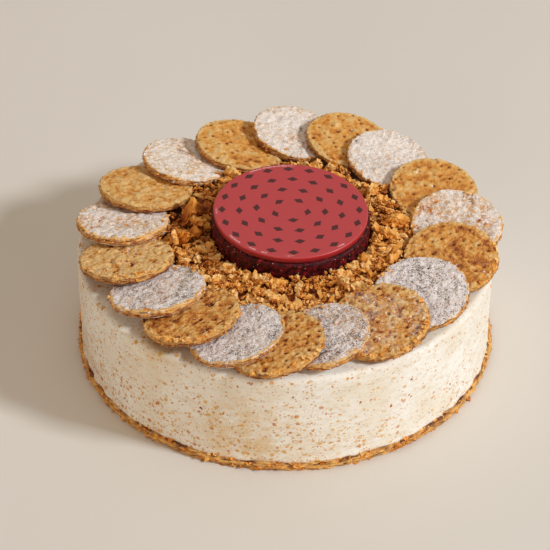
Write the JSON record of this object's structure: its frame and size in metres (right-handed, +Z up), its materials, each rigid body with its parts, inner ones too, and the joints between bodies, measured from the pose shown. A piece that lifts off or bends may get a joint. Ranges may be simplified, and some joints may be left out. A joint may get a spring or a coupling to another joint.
{
  "type": "ice cream cake",
  "caption": "Round ice cream cake on a thin pastry sheet, topped with a leaning ring of pastry rounds, a heap of crumbs, and a jelly disc that carries a thin red plaque.",
  "frame": {"origin": "middle of the flat underside of the pastry sheet", "axes": "+Z up; the side seen in the picture faces -Y, with +X to its right"},
  "size_m": [0.227, 0.2305, 0.0824],
  "materials": {
    "ice_cream": "cream white with brown specks, smooth and scraped",
    "pastry_sheet": "baked golden brown, flaky",
    "plain_pastry": "baked golden brown, blistered",
    "sugared_pastry": "baked pastry under a dusting of white sugar",
    "pastry_crumbs": "loose flaky crumbs, golden brown",
    "fruit_jelly": "very dark red, glossy",
    "red_plaque": "red, satin, with a small dark pattern"
  },
  "bodies": {
    "root": {"pastry_sheet": "pastry_sheet", "ice_cream": "ice_cream", "pastry_round_01": "sugared_pastry", "pastry_round_02": "plain_pastry", "pastry_round_03": "sugared_pastry", "pastry_round_04": "plain_pastry", "pastry_round_05": "sugared_pastry", "pastry_round_06": "plain_pastry", "pastry_round_07": "sugared_pastry", "pastry_round_08": "plain_pastry", "pastry_round_09": "sugared_pastry", "pastry_round_10": "plain_pastry", "pastry_round_11": "sugared_pastry", "pastry_round_12": "plain_pastry", "pastry_round_13": "sugared_pastry", "pastry_round_14": "plain_pastry", "pastry_round_15": "sugared_pastry", "pastry_round_16": "plain_pastry", "pastry_round_17": "sugared_pastry", "pastry_round_18": "plain_pastry", "pastry_crumbs": "pastry_crumbs", "fruit_jelly": "fruit_jelly", "red_plaque": "red_plaque"}
  },
  "joints": []
}
